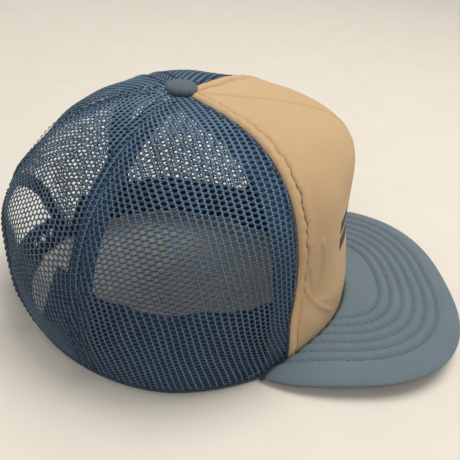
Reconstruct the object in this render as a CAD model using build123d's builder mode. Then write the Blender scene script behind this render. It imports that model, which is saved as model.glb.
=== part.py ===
from build123d import *
from math import asin, atan2, cos, degrees, hypot, pi, radians, sin, sqrt
import os

# Trucker cap with a foam front and mesh sides and back.  Millimetres.
# +Z is up, the brim points along -Y, the wearer's right is -X.  Z = 0 is the plane
# of the head opening and the origin is the centre of that opening.

# ---- crown ----
RIM_HALF_WIDTH = 91.0       # half the width of the head opening at its widest line
RIM_FRONT = 107.5           # from the widest line to the front of the head opening
RIM_BACK = 91.5             # from the widest line to the back of the head opening
RIM_POWER = 1.82            # 2 is an ellipse, less is slimmer towards front and back
CROWN_HEIGHT = 130.5        # head opening to the top of the crown
BUTTON_Y = 3.7              # the button axis sits a little behind the widest line
FRONT_LIFT = 5.5            # the lower edge of the front panel is higher than the sides
FRONT_POWER = 5.2           # squareness of the upright profile at the front
SIDE_POWER = 3.05           # and at the sides
BACK_POWER = 2.4            # and at the back
FRONT_BULGE = -0.067        # the front leans back, sides and back swell outwards
SIDE_BULGE = 0.113
BACK_BULGE = 0.177
FRONT_SEAM = 49.5           # azimuth of the front seams from straight ahead, degrees
SIDE_SEAM = 117.0           # azimuth of the seams between side and back mesh
TOP_HOLE = 2.6              # radius left open at the top for the button prong

# ---- layers, measured inwards from the outside of the crown ----
FABRIC = 0.8
FOAM = 3.0
MESH = 0.9
TAPE_TOP = 1.1
TAPE = 0.8
BAND_SIDE = 2.4
BAND_FRONT = 4.3
BAND = 1.4
BAND_LOW = 0.6
BAND_HEIGHT = 38.0
BAND_LEAN_FRONT = 9.0       # the free upper edge of the sweatband falls inwards
BAND_LEAN_SIDE = 15.0
BAND_END = 149.5            # azimuth where the sweatband stops beside the arch
TAPE_HALF = 7.5
TAPE_START = 14.0           # the tapes stop this far from the button axis

# ---- arch at the back and the snap straps ----
ARCH_HALF = 42.0
ARCH_HEIGHT = 58.0
ARCH_POWER = 2.4
BINDING = 8.0
STRAP_LOW = 2.0
STRAP_HIGH = 20.0
STRAP = 1.3
STRAP_OUTER = 0.0           # outer face of the strap with holes, where the straps overlap
STRAP_INNER = 1.8           # outer face of the strap with pegs, and of both sewn ends
STRAP_ROOT = 24.4           # azimuth of the hinge ends from straight back, degrees
STRAP_TIP = 10.5            # how far each strap passes straight back, degrees
TAB_START = 25.1            # the sewn ends lie behind the binding
TAB_END = 29.5
PEG_STEP = 5.0              # spacing of pegs and holes in degrees about the button axis
PEG_FIRST = 7.5             # the last hole and the last peg pass straight back by this
PEG_COUNT = 7
PEG_RADIUS = 1.7
PEG_LENGTH = 2.7
HOLE_RADIUS = 2.45

# ---- brim ----
BRIM_HALF = 89.7
BRIM_WIDEST_Y = -93.5
BRIM_DEPTH = 84.7
BRIM_POWER = 2.53
BRIM_HEIGHT = 15.0          # top of the brim where it meets the crown
BRIM_RISE = 0.046           # the brim climbs this much per millimetre forwards
BRIM_GAP = 0.15             # hairline between the brim and the crown
BRIM_TOP = 3.4
BRIM_BOARD = 1.9
BRIM_UNDER = 1.7
BOARD_INSET = 3.0
TOP_EDGE = ((0.0, 3.4), (0.35, 2.0), (1.1, 0.9), (2.1, 0.25), (BRIM_TOP, 0.0))
UNDER_EDGE = ((BRIM_TOP, 0.0), (5.2, 0.2), (6.3, 0.8), (BRIM_TOP + BRIM_BOARD + BRIM_UNDER, 1.9))
ROW_FIRST = 14.8            # first stitched row, in from the edge of the brim
ROW_STEP = 6.75
ROW_COUNT = 6
THREAD = 0.35
STITCH_BACK = 6.0           # topstitching sits this far in front of the front seams

# ---- button ----
BUTTON_RADIUS = 8.6
BUTTON_HEIGHT = 5.4
BUTTON_SKIN = 0.9
PRONG_RADIUS = 1.8
WASHER_RADIUS = 6.0
WASHER = 0.9


def rim_distance(azimuth, inset):
    """Distance from the button axis to the head opening, and the front weight there."""
    dx = -sin(radians(azimuth))
    dy = -cos(radians(azimuth))
    near = 0.0
    far = 200.0
    for _ in range(60):
        mid = (near + far) / 2
        x = mid * dx
        y = BUTTON_Y + mid * dy
        along = (RIM_FRONT if y < 0 else RIM_BACK) - inset
        inside = (abs(x) / (RIM_HALF_WIDTH - inset)) ** RIM_POWER + (abs(y) / along) ** RIM_POWER
        if inside < 1:
            near = mid
        else:
            far = mid
    x = near * dx
    y = BUTTON_Y + near * dy
    return near, -y / hypot(x, y)


def profile_point(azimuth, inset, angle):
    """Radius from the button axis and height of the crown at a profile angle (0 = rim)."""
    reach, ahead = rim_distance(azimuth, inset)
    front = max(0.0, ahead) ** 2
    back = max(0.0, -ahead) ** 2
    power = SIDE_POWER + (FRONT_POWER - SIDE_POWER) * front + (BACK_POWER - SIDE_POWER) * back
    bulge = SIDE_BULGE + (FRONT_BULGE - SIDE_BULGE) * front + (BACK_BULGE - SIDE_BULGE) * back
    size = (cos(angle) ** power + sin(angle) ** power) ** (-1 / power)
    level = size * sin(angle)
    radius = reach * size * cos(angle) * (1 + 4 * bulge * level * (1 - level))
    return radius, (CROWN_HEIGHT - inset) * level


def angle_where(azimuth, inset, height=None, radius=None):
    """Profile angle at which the crown reaches a height, or comes in to a radius."""
    low = 0.0
    high = pi / 2 - 1e-6
    for _ in range(60):
        mid = (low + high) / 2
        r, z = profile_point(azimuth, inset, mid)
        below = z < height if height is not None else r > radius
        if below:
            low = mid
        else:
            high = mid
    return (low + high) / 2


def crown_point(azimuth, inset, height):
    """Point in space on the layer at this inset."""
    r, z = profile_point(azimuth, inset, angle_where(azimuth, inset, height=height))
    return (-r * sin(radians(azimuth)), BUTTON_Y - r * cos(radians(azimuth)), z)


def profile(azimuth, inset, low, high=None, top_radius=None, count=15):
    """Profile points in the upright plane through the button axis."""
    start = angle_where(azimuth, inset, height=low) if low > 0 else 0.0
    if high is not None:
        end = angle_where(azimuth, inset, height=high)
    else:
        end = angle_where(azimuth, inset, radius=top_radius)
    angles = [start + (end - start) * k / (count - 1) for k in range(count)]
    return [profile_point(azimuth, inset, a) for a in angles]


def upright(azimuth):
    """Upright plane through the button axis, local x pointing outwards."""
    out = Vector(-sin(radians(azimuth)), -cos(radians(azimuth)), 0)
    return Plane(origin=(0, BUTTON_Y, 0), x_dir=out, z_dir=out.cross(Vector(0, 0, 1)))


def layer_section(azimuth, outer, inner, low, high=None, top_radius=None, count=15):
    """Face between two layers of the crown in the upright plane at this azimuth."""
    with BuildSketch(upright(azimuth)) as section:
        with BuildLine():
            a = Spline(*profile(azimuth, outer, low, high, top_radius, count))
            b = Spline(*profile(azimuth, inner, low, high, top_radius, count))
            Line(a @ 0, b @ 0)
            Line(a @ 1, b @ 1)
        make_face()
    return section.sketch.face()


def spread(first, last, count):
    return [first + (last - first) * k / (count - 1) for k in range(count)]


def front_low(azimuth):
    """The lower edge of the front panel lifts towards the middle."""
    return FRONT_LIFT * max(0.0, cos(radians(azimuth * 90 / FRONT_SEAM)))


def arch_outline(grow):
    """Half widths and heights round the arch opening, grown outwards."""
    points = []
    for k in range(25):
        a = pi * k / 24
        x = (ARCH_HALF + grow) * abs(cos(a)) ** (2 / ARCH_POWER)
        z = (ARCH_HEIGHT + grow) * sin(a) ** (2 / ARCH_POWER)
        points.append((x if a < pi / 2 else -x, z))
    return points


def arch_prism(grow):
    """Upright arch-shaped prism across the back of the crown."""
    low = -20.0
    with BuildPart(mode=Mode.PRIVATE) as prism:
        with BuildSketch(Plane(origin=(0, 40, 0), x_dir=(1, 0, 0), z_dir=(0, -1, 0))):
            with BuildLine():
                top = Spline(*arch_outline(grow))
                left = Line(top @ 1, (-(ARCH_HALF + grow), low))
                right = Line(top @ 0, (ARCH_HALF + grow, low))
                Line(left @ 1, right @ 1)
            make_face()
        extrude(amount=-90)
    return prism.part


def slab(azimuth, first, last):
    """Upright slab beside a seam plane, from first to last millimetres across it."""
    with BuildPart(mode=Mode.PRIVATE) as block:
        with BuildSketch(upright(azimuth).offset(first)):
            with Locations((80, 70)):
                Rectangle(150, 180)
        extrude(amount=last - first)
    return block.part


def brim_outline(inset):
    """Plan of the brim from its widest line forwards, narrowed by an inset."""
    points = []
    for k in range(33):
        a = pi * k / 32
        across = abs(cos(a)) ** (2 / BRIM_POWER) * (BRIM_HALF - inset)
        ahead = sin(a) ** (2 / BRIM_POWER) * (BRIM_DEPTH - inset)
        points.append((across if a < pi / 2 else -across, BRIM_WIDEST_Y - ahead))
    return points


BRIM_PLANE = Plane(origin=(0, -RIM_FRONT, BRIM_HEIGHT), x_dir=(1, 0, 0), z_dir=(0, BRIM_RISE, 1))
WING_Y = -42.0
WING_X = 77.0


def brim_section(depth, inset):
    """Plan of the brim at a depth below its top, closed behind where the crown cuts it."""
    wing = (WING_X - inset, WING_Y + RIM_FRONT)
    with BuildSketch(BRIM_PLANE.offset(-depth)) as section:
        with BuildLine():
            edge = Spline(
                *[(x, y + RIM_FRONT) for x, y in brim_outline(inset)],
                tangents=((0, -1), (0, 1)),
            )
            right = Spline(wing, edge @ 0, tangents=((0.36, -0.93), (0, -1)))
            left = Spline(edge @ 1, (-wing[0], wing[1]), tangents=((0, 1), (0.36, 0.93)))
            Line(left @ 1, right @ 0)
        make_face()
    return section.sketch.face()


def crown_core(top):
    """Everything inside the crown up to a height, with the hairline gap to the brim."""
    sections = []
    for azimuth in spread(-120.0, 120.0, 17):
        with BuildSketch(upright(azimuth)) as section:
            with BuildLine():
                wall = Spline(*profile(azimuth, -BRIM_GAP, 0, high=top, count=9))
                foot = Line((5, 0), wall @ 0)
                head = Line(wall @ 1, (5, top))
                Line(head @ 1, foot @ 0)
            make_face()
        sections.append(section.sketch.face())
    with BuildPart(mode=Mode.PRIVATE) as core:
        loft(sections=sections)
    return core.part


def band_inset(azimuth):
    """The sweatband lies inside the foam at the front and inside the mesh elsewhere."""
    share = min(1.0, max(0.0, (abs(azimuth) - FRONT_SEAM) / 16.0))
    share = share * share * (3 - 2 * share)
    return BAND_FRONT + (BAND_SIDE - BAND_FRONT) * share


def band_section(azimuth):
    """Strip of the sweatband in the upright plane, leaning inwards at the top."""
    low = BAND_LOW + (front_low(azimuth) if abs(azimuth) < FRONT_SEAM else 0)
    inset = band_inset(azimuth)
    foot = profile_point(azimuth, inset, angle_where(azimuth, inset, height=low))[0]
    lean = BAND_LEAN_FRONT + (BAND_LEAN_SIDE - BAND_LEAN_FRONT) * sin(radians(azimuth)) ** 2
    with BuildSketch(upright(azimuth)) as section:
        with BuildLine():
            Polyline(
                (foot, low),
                (foot - lean, BAND_HEIGHT),
                (foot - lean - BAND, BAND_HEIGHT),
                (foot - BAND, low),
                close=True,
            )
        make_face()
    return section.sketch.face()


def strap_section(azimuth, outer):
    return layer_section(azimuth, outer, outer + STRAP, STRAP_LOW, high=STRAP_HIGH, count=4)


def step_out(azimuth):
    """The strap with holes steps outwards over the other strap near the middle."""
    share = min(1.0, max(0.0, (azimuth - 180 - STRAP_TIP - 1.5) / 9.0))
    share = share * share * (3 - 2 * share)
    return STRAP_OUTER + (STRAP_INNER - STRAP_OUTER) * share


def peg_plane(azimuth, outer):
    """Plane on a strap at mid height, z pointing out of it."""
    middle = (STRAP_LOW + STRAP_HIGH) / 2
    angle = angle_where(azimuth, outer, height=middle)
    r0, z0 = profile_point(azimuth, outer, angle - 0.02)
    r1, z1 = profile_point(azimuth, outer, angle + 0.02)
    turn = azimuth
    if azimuth > 180 - STRAP_TIP:
        turn = 180 + 0.6 * (azimuth - 180) + 6.0
    ahead = (z1 - z0, r0 - r1)
    normal = Vector(-sin(radians(turn)) * ahead[0], -cos(radians(turn)) * ahead[0], ahead[1])
    return Plane(origin=crown_point(azimuth, outer, middle), z_dir=normal)


def tape(azimuth, first, last, reach):
    """Narrow strip of the tape layer beside a seam."""
    with BuildPart(mode=Mode.PRIVATE) as strip:
        with BuildPart(mode=Mode.PRIVATE) as sector:
            loft(
                sections=[
                    layer_section(a, TAPE_TOP, TAPE_TOP + TAPE, 1.0, top_radius=TAPE_START)
                    for a in spread(azimuth + reach[0], azimuth + reach[1], 9)
                ]
            )
        add(sector.part)
        add(slab(azimuth, first, last), mode=Mode.INTERSECT)
    return strip.part


def crown_front_y(across, height):
    """Where the front of the crown lies at this distance from the middle."""
    low = 0.0
    high = 90.0
    for _ in range(50):
        mid = (low + high) / 2
        if abs(crown_point(mid, 0, height)[0]) < across:
            low = mid
        else:
            high = mid
    return crown_point((low + high) / 2, 0, height)[1]


def stitched_row(inset):
    """Thread lying on top of the brim, parallel to its edge."""
    across = BRIM_HALF - inset
    start = crown_front_y(across, BRIM_HEIGHT) - 1.5
    points = [(x, y + RIM_FRONT) for x, y in brim_outline(inset)]
    if start > BRIM_WIDEST_Y + 8:
        back = [(start + (BRIM_WIDEST_Y - start) * k / 3 + RIM_FRONT) for k in range(3)]
        points = [(across, y) for y in back] + points + [(-across, y) for y in reversed(back)]
    with BuildPart(mode=Mode.PRIVATE) as thread:
        with BuildLine(BRIM_PLANE.offset(THREAD + 0.02)) as path:
            Spline(*points)
        wire = path.wire()
        with BuildSketch(Plane(origin=wire @ 0, z_dir=wire % 0)):
            Circle(THREAD)
        sweep(path=wire)
    return thread.part


def seam_stitch():
    """Thread on the front panel, a constant distance in front of the right front seam."""
    points = []
    low = angle_where(FRONT_SEAM, 0, height=BRIM_HEIGHT)
    high = angle_where(FRONT_SEAM, 0, radius=15.0)
    for angle in spread(low, high, 18):
        r, z = profile_point(FRONT_SEAM, -THREAD, angle)
        azimuth = FRONT_SEAM - degrees(asin(STITCH_BACK / r))
        r, z = profile_point(azimuth, -THREAD - 0.03, angle)
        points.append((-r * sin(radians(azimuth)), BUTTON_Y - r * cos(radians(azimuth)), z))
    with BuildPart(mode=Mode.PRIVATE) as thread:
        with BuildLine() as path:
            Spline(*points)
        wire = path.wire()
        with BuildSketch(Plane(origin=wire @ 0, z_dir=wire % 0)):
            Circle(THREAD)
        sweep(path=wire)
    return thread.part


parts = []


def keep(builder, label):
    builder.part.label = label
    parts.append(builder.part)


# ---- front panel: fabric face laminated to foam ----
with BuildPart() as front_panel_fabric:
    loft(
        sections=[
            layer_section(a, 0, FABRIC, front_low(a), top_radius=TOP_HOLE)
            for a in spread(-FRONT_SEAM, FRONT_SEAM, 9)
        ]
    )
keep(front_panel_fabric, "front_panel_fabric")

with BuildPart() as front_panel_foam:
    loft(
        sections=[
            layer_section(a, FABRIC, FABRIC + FOAM, front_low(a), top_radius=TOP_HOLE + 1)
            for a in spread(-FRONT_SEAM + 0.3, FRONT_SEAM - 0.3, 9)
        ]
    )
keep(front_panel_foam, "front_panel_foam")

# ---- mesh panels ----
with BuildPart() as side_mesh_right:
    loft(
        sections=[
            layer_section(a, 0, MESH, 0, top_radius=TOP_HOLE)
            for a in spread(FRONT_SEAM, SIDE_SEAM, 7)
        ]
    )
keep(side_mesh_right, "side_mesh_right")

with BuildPart() as side_mesh_left:
    mirror(side_mesh_right.part, about=Plane.YZ)
keep(side_mesh_left, "side_mesh_left")

with BuildPart() as back_mesh_right:
    loft(
        sections=[
            layer_section(a, 0, MESH, 0, top_radius=TOP_HOLE)
            for a in spread(SIDE_SEAM, 180, 7)
        ]
    )
    add(arch_prism(BINDING), mode=Mode.SUBTRACT)
keep(back_mesh_right, "back_mesh_right")

with BuildPart() as back_mesh_left:
    mirror(back_mesh_right.part, about=Plane.YZ)
keep(back_mesh_left, "back_mesh_left")

# ---- seam tapes inside the crown ----
with BuildPart() as front_tape_right:
    add(tape(FRONT_SEAM, 0.3, TAPE_HALF * 2, (0.3, 45)))
keep(front_tape_right, "front_seam_tape_right")

with BuildPart() as front_tape_left:
    mirror(front_tape_right.part, about=Plane.YZ)
keep(front_tape_left, "front_seam_tape_left")

with BuildPart() as side_tape_right:
    add(tape(SIDE_SEAM, -TAPE_HALF, TAPE_HALF, (-20, 20)))
keep(side_tape_right, "side_seam_tape_right")

with BuildPart() as side_tape_left:
    mirror(side_tape_right.part, about=Plane.YZ)
keep(side_tape_left, "side_seam_tape_left")

with BuildPart() as back_tape:
    add(tape(180, -TAPE_HALF, TAPE_HALF, (-20, 20)))
    add(arch_prism(BINDING + 0.3), mode=Mode.SUBTRACT)
keep(back_tape, "back_seam_tape")

# ---- sweatband ----
with BuildPart() as sweatband:
    loft(sections=[band_section(a) for a in spread(-BAND_END, BAND_END, 33)])
keep(sweatband, "sweatband")

# ---- binding folded over the edge of the arch ----
with BuildPart() as arch_binding:
    loft(
        sections=[
            layer_section(a, -0.5, 1.5, 0.5, high=ARCH_HEIGHT + BINDING + 6)
            for a in spread(140, 220, 9)
        ]
    )
    add(arch_prism(BINDING), mode=Mode.INTERSECT)
    add(arch_prism(0), mode=Mode.SUBTRACT)
keep(arch_binding, "arch_binding")

# ---- snap straps across the arch ----
with BuildPart() as tab_right:
    loft(sections=[strap_section(180 - a, STRAP_INNER) for a in spread(TAB_START, TAB_END, 3)])
keep(tab_right, "strap_sewn_end_right")

with BuildPart() as tab_left:
    mirror(tab_right.part, about=Plane.YZ)
keep(tab_left, "strap_sewn_end_left")

with BuildPart() as peg_strap:
    loft(
        sections=[
            strap_section(a, STRAP_INNER)
            for a in spread(180 - STRAP_ROOT, 180 + STRAP_TIP, 9)
        ]
    )
    for k in range(PEG_COUNT):
        plane = peg_plane(180 + PEG_FIRST - PEG_STEP * k, STRAP_INNER)
        with Locations(plane.offset(-0.5)):
            Cylinder(PEG_RADIUS, PEG_LENGTH + 0.5, align=(Align.CENTER, Align.CENTER, Align.MIN))
keep(peg_strap, "peg_strap")

with BuildPart() as hole_strap:
    loft(
        sections=[
            strap_section(a, step_out(a))
            for a in spread(180 - STRAP_TIP, 180 + STRAP_ROOT, 11)
        ]
    )
    for k in range(PEG_COUNT):
        azimuth = 180 - PEG_FIRST + PEG_STEP * k
        with Locations(peg_plane(azimuth, step_out(azimuth)).offset(-4)):
            Cylinder(
                HOLE_RADIUS,
                8,
                align=(Align.CENTER, Align.CENTER, Align.MIN),
                mode=Mode.SUBTRACT,
            )
keep(hole_strap, "hole_strap")

# ---- brim ----
inside_crown = crown_core(60)

with BuildPart() as brim_board:
    loft(
        sections=[
            brim_section(BRIM_TOP, BOARD_INSET),
            brim_section(BRIM_TOP + BRIM_BOARD, BOARD_INSET),
        ],
        ruled=True,
    )
    add(inside_crown, mode=Mode.SUBTRACT)
keep(brim_board, "brim_board")

with BuildPart() as brim_top_cover:
    loft(sections=[brim_section(d, inset) for d, inset in TOP_EDGE], ruled=True)
    add(inside_crown, mode=Mode.SUBTRACT)
keep(brim_top_cover, "brim_top_cover")

with BuildPart() as brim_under_cover:
    loft(sections=[brim_section(d, inset) for d, inset in UNDER_EDGE], ruled=True)
    add(inside_crown, mode=Mode.SUBTRACT)
    add(brim_board.part, mode=Mode.SUBTRACT)
keep(brim_under_cover, "brim_under_cover")

for k in range(ROW_COUNT):
    with BuildPart() as brim_row:
        add(stitched_row(ROW_FIRST + ROW_STEP * k))
    keep(brim_row, f"brim_stitch_row_{k + 1}")

# ---- topstitching beside the front seams ----
with BuildPart() as stitch_right:
    add(seam_stitch())
keep(stitch_right, "front_topstitch_right")

with BuildPart() as stitch_left:
    mirror(stitch_right.part, about=Plane.YZ)
keep(stitch_left, "front_topstitch_left")

# ---- covered button ----
BUTTON_PLANE = Plane(origin=(0, BUTTON_Y, CROWN_HEIGHT + 0.05), x_dir=(1, 0, 0), z_dir=(0, -1, 0))

with BuildPart() as button_cover:
    with BuildSketch(BUTTON_PLANE):
        with BuildLine():
            dome = Spline(
                (0, BUTTON_HEIGHT),
                (BUTTON_RADIUS * 0.6, BUTTON_HEIGHT * 0.86),
                (BUTTON_RADIUS, BUTTON_HEIGHT * 0.3),
                tangents=((1, 0), (0.1, -1)),
            )
            Line(dome @ 1, (BUTTON_RADIUS - 0.5, 0))
            Line((BUTTON_RADIUS - 0.5, 0), (BUTTON_RADIUS - 0.5 - BUTTON_SKIN, 0))
            inner = Spline(
                (BUTTON_RADIUS - 0.5 - BUTTON_SKIN, 0),
                (BUTTON_RADIUS - BUTTON_SKIN, BUTTON_HEIGHT * 0.28),
                (BUTTON_RADIUS * 0.55, BUTTON_HEIGHT * 0.86 - BUTTON_SKIN),
                (0, BUTTON_HEIGHT - BUTTON_SKIN),
            )
            Line(inner @ 1, dome @ 0)
        make_face()
    revolve(axis=Axis((0, BUTTON_Y, 0), (0, 0, 1)))
keep(button_cover, "button_cover")

with BuildPart() as button_core:
    with BuildSketch(Plane.XY.offset(CROWN_HEIGHT + 0.05)):
        with Locations((0, BUTTON_Y)):
            Circle(BUTTON_RADIUS - 0.6 - BUTTON_SKIN)
            Circle(PRONG_RADIUS, mode=Mode.SUBTRACT)
    extrude(amount=BUTTON_HEIGHT * 0.45)
keep(button_core, "button_core")

with BuildPart() as button_rivet:
    washer_top = CROWN_HEIGHT - FABRIC - FOAM - 0.4
    with BuildSketch(Plane.XY.offset(washer_top - WASHER)):
        with Locations((0, BUTTON_Y)):
            Circle(WASHER_RADIUS)
    extrude(amount=WASHER)
    with BuildSketch(Plane.XY.offset(washer_top)):
        with Locations((0, BUTTON_Y)):
            Circle(PRONG_RADIUS)
    extrude(amount=CROWN_HEIGHT + 0.05 + BUTTON_HEIGHT * 0.45 - washer_top)
keep(button_rivet, "button_rivet")

os.makedirs("parts", exist_ok=True)
for piece in parts:
    export_step(piece, f"parts/{piece.label}.step")
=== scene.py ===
import math

import bpy
import numpy as np
from mathutils import Matrix, Vector


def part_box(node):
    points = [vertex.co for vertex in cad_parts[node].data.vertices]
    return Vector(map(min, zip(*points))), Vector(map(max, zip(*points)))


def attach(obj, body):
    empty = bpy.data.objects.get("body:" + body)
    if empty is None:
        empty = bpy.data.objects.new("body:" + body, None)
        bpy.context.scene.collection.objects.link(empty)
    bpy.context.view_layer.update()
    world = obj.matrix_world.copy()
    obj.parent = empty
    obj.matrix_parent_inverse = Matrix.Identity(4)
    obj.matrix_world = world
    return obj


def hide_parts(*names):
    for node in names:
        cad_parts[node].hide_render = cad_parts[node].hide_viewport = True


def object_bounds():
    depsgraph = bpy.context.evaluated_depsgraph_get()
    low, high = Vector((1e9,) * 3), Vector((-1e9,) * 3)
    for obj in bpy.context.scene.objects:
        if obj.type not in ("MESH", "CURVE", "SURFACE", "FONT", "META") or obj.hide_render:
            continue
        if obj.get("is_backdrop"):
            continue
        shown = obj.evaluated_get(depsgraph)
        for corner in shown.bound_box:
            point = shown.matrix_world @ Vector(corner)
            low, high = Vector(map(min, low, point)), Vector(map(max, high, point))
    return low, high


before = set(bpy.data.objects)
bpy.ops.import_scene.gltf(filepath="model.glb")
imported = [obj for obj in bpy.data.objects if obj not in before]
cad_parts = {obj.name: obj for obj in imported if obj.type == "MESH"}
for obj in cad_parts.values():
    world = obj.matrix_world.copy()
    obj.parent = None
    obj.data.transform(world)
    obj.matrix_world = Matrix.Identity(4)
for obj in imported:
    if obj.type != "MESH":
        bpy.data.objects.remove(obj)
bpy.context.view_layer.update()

# Looks for a trucker cap: tan foam front, hexagonal net sides and back, quilted brim.
# Lengths below are in millimetres, in the shared frame: +Z up, brim along -Y, right side -X.
MM = 0.001

# ---- crown, the same shape as the CAD part ----
RIM_HALF_WIDTH, RIM_FRONT, RIM_BACK, RIM_POWER = 91.0, 107.5, 91.5, 1.82
CROWN_HEIGHT, BUTTON_Y = 130.5, 3.7
UPRIGHT_LOW, UPRIGHT_HIGH = 3.0, 1.9   # how far the worn front wall stands out low down, and in higher up
SEAM_PULL = 3.4                        # degrees the front seams bend forward near the brim
HUMP = 2.7                             # rise of the crown's left shoulder
FRONT_POWER, SIDE_POWER, BACK_POWER = 5.2, 3.05, 2.4
FRONT_BULGE, SIDE_BULGE, BACK_BULGE = -0.067, 0.113, 0.177
FRONT_SEAM, SIDE_SEAM, FRONT_LIFT, TOP_HOLE = 49.5, 117.0, 5.5, 2.6
BAND_SIDE, BAND_FRONT, BAND, BAND_LOW, BAND_HEIGHT = 2.4, 4.3, 1.4, 0.6, 38.0
BAND_LEAN_FRONT, BAND_LEAN_SIDE, BAND_END, BAND_FLAT = 9.0, 15.0, 149.5, 39.0
ARCH_HALF, ARCH_HEIGHT, ARCH_POWER, BINDING = 42.0, 58.0, 2.4, 8.0
TAPE_HALF, TAPE_START, SEAM_STITCH_END = 7.5, 14.0, 13.0   # the last two are distances from the button axis

# ---- brim ----
BRIM_HALF, BRIM_WIDEST_Y, BRIM_DEPTH, BRIM_POWER = 89.7, -93.5, 84.7, 2.53
BRIM_HEIGHT, BRIM_RISE, BRIM_THICK = 15.0, 0.046, 7.0
WING_X, WING_Y = 77.0, -42.0
ROW_FIRST, ROW_STEP, ROW_COUNT = 14.8, 6.75, 6
ROWS = ROW_FIRST + ROW_STEP * np.arange(ROW_COUNT)   # insets of the quilting rows from the edge
STITCH_PITCH = 3.9
INNER_INSET = 71.5                                   # where the covers end, inside the front wall
EDGE_ROUND, END_DROOP = 1.9, 3.4

# ---- net and stitching ----
WALE_GAP, WALE_STEP = 3.35, 2.65    # between the net's raised lines, and between holes along one
WALE_LEAN = 17.0            # degrees the lines lean back as they rise
GRAIN_RISE, GRAIN_BEND = 0.13, 0.0039   # how the rows of holes climb across a panel
HOLE_X, HOLE_Y, HOLE_POWER = 1.26, 0.96, 2.4
NET_THICK = 0.62
PUFF = 6.0                  # width of the puffed strip between the front seam and its topstitching


def smooth(x):
    x = np.clip(x, 0.0, 1.0)
    return x * x * (3 - 2 * x)


def bell(x, width):
    return np.exp(-((x / width) ** 2))


def run_along(points):
    """Distance along a path, from 0, at each of its points."""
    return np.concatenate([[0], np.cumsum(np.linalg.norm(np.diff(points, axis=0), axis=1))])


def halve(is_low, low, high, turns):
    """Both sides of a threshold, after halving the gap between them."""
    for _ in range(turns):
        mid = (low + high) / 2
        below = is_low(mid)
        low, high = np.where(below, mid, low), np.where(below, high, mid)
    return low, high


# ======================================================================= crown surface
def rim_table():
    """Distance from the button axis to the head opening, and how far ahead it points."""
    az = np.radians(np.linspace(0, 180, 721))
    dx, dy = np.sin(az), -np.cos(az)

    def inside(reach):
        x, y = reach * dx, BUTTON_Y + reach * dy
        along = np.where(y < 0, RIM_FRONT, RIM_BACK)
        return (x / RIM_HALF_WIDTH) ** RIM_POWER + np.abs(y / along) ** RIM_POWER < 1

    near = halve(inside, np.zeros_like(az), np.full_like(az, 200.0), 50)[0]
    x, y = near * dx, BUTTON_Y + near * dy
    return np.linspace(0, 180, 721), near, -y / np.hypot(x, y)


RIM_AZ, RIM_REACH, RIM_AHEAD = rim_table()


def profile(azimuth, angle):
    """Radius from the button axis and height at a profile angle (0 = rim)."""
    side = np.abs((np.asarray(azimuth) + 180) % 360 - 180)
    reach = np.interp(side, RIM_AZ, RIM_REACH)
    ahead = np.interp(side, RIM_AZ, RIM_AHEAD)
    front, back = np.maximum(0, ahead) ** 2, np.maximum(0, -ahead) ** 2
    power = SIDE_POWER + (FRONT_POWER - SIDE_POWER) * front + (BACK_POWER - SIDE_POWER) * back
    bulge = SIDE_BULGE + (FRONT_BULGE - SIDE_BULGE) * front + (BACK_BULGE - SIDE_BULGE) * back
    c, s = np.maximum(np.cos(angle), 1e-9), np.maximum(np.sin(angle), 1e-9)
    size = (c**power + s**power) ** (-1 / power)
    level = size * s
    height = CROWN_HEIGHT * level
    upright = UPRIGHT_LOW * bell(height - 26, 24)
    upright = upright - UPRIGHT_HIGH * smooth((height - 50) / 25) * smooth((112 - height) / 26)
    return reach * size * c * (1 + 4 * bulge * level * (1 - level)) + upright * smooth((46 - side) / 34), height


def angle_at(azimuth, height=None, radius=None):
    """Profile angle at which the crown reaches a height, or comes in to a radius."""
    target = height if height is not None else radius
    azimuth, target = np.broadcast_arrays(np.asarray(azimuth, float), np.asarray(target, float))

    def below(angle):
        r, z = profile(azimuth, angle)
        return z < target if height is not None else r > target

    return sum(halve(below, np.zeros(azimuth.shape), np.full(azimuth.shape, math.pi / 2 - 1e-5), 40)) / 2


def softness(azimuth, radius, height):
    """Small dents and swells of the sewn crown, outwards positive."""
    az = np.radians(azimuth)
    calm = smooth((height - 12) / 22) * smooth((radius - 12) / 25)
    swell = 0.5 * np.sin(3.0 * az + 0.021 * height + 0.4) + 0.35 * np.sin(7.0 * az - 0.05 * height + 1.0)
    swell = swell + 0.3 * np.sin(16.0 * az + 0.09 * height) * smooth((np.abs(azimuth) - 55) / 10)
    rear = smooth((np.abs(azimuth) - 122) / 14)
    swell = swell + rear * (0.9 * np.sin(height / 8.0 + 2.2 * az) + 0.5 * np.sin(height / 4.7 - 3.0 * az + 1.0))
    swell = swell * calm
    for seam in (-SIDE_SEAM, SIDE_SEAM, 180.0):
        gap = radius * np.radians(np.abs((azimuth - seam + 180) % 360 - 180))
        swell = swell - 0.9 * bell(gap, 2.2) * smooth((height - 6) / 20) * smooth((radius - 9) / 6)
    return swell


def lean_forward(azimuth, height):
    """The front seams bend forward over their last few centimetres."""
    pull = SEAM_PULL * bell(np.abs(azimuth) - FRONT_SEAM, 18.0) * smooth((46 - height) / 40)
    return azimuth - np.sign(azimuth) * pull


def raw_point(azimuth, angle):
    r, z = profile(azimuth, angle)
    azimuth = lean_forward(azimuth, z)
    r, z = profile(azimuth, angle)
    r = r + softness(azimuth, r, z)
    z = z + HUMP * bell(azimuth + 80.0, 27.0) * bell(r - 30.0, 17.0)
    az = np.radians(azimuth)
    return np.stack([-r * np.sin(az), BUTTON_Y - r * np.cos(az), z], -1)


def crown_normal(azimuth, angle):
    step, turn = 2e-3, 0.15
    up = raw_point(azimuth, np.minimum(angle + step, math.pi / 2)) - raw_point(azimuth, angle - step)
    round_ = raw_point(azimuth + turn, angle) - raw_point(azimuth - turn, angle)
    n = np.cross(up, round_)
    return n / np.maximum(np.linalg.norm(n, axis=-1, keepdims=True), 1e-9)


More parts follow.
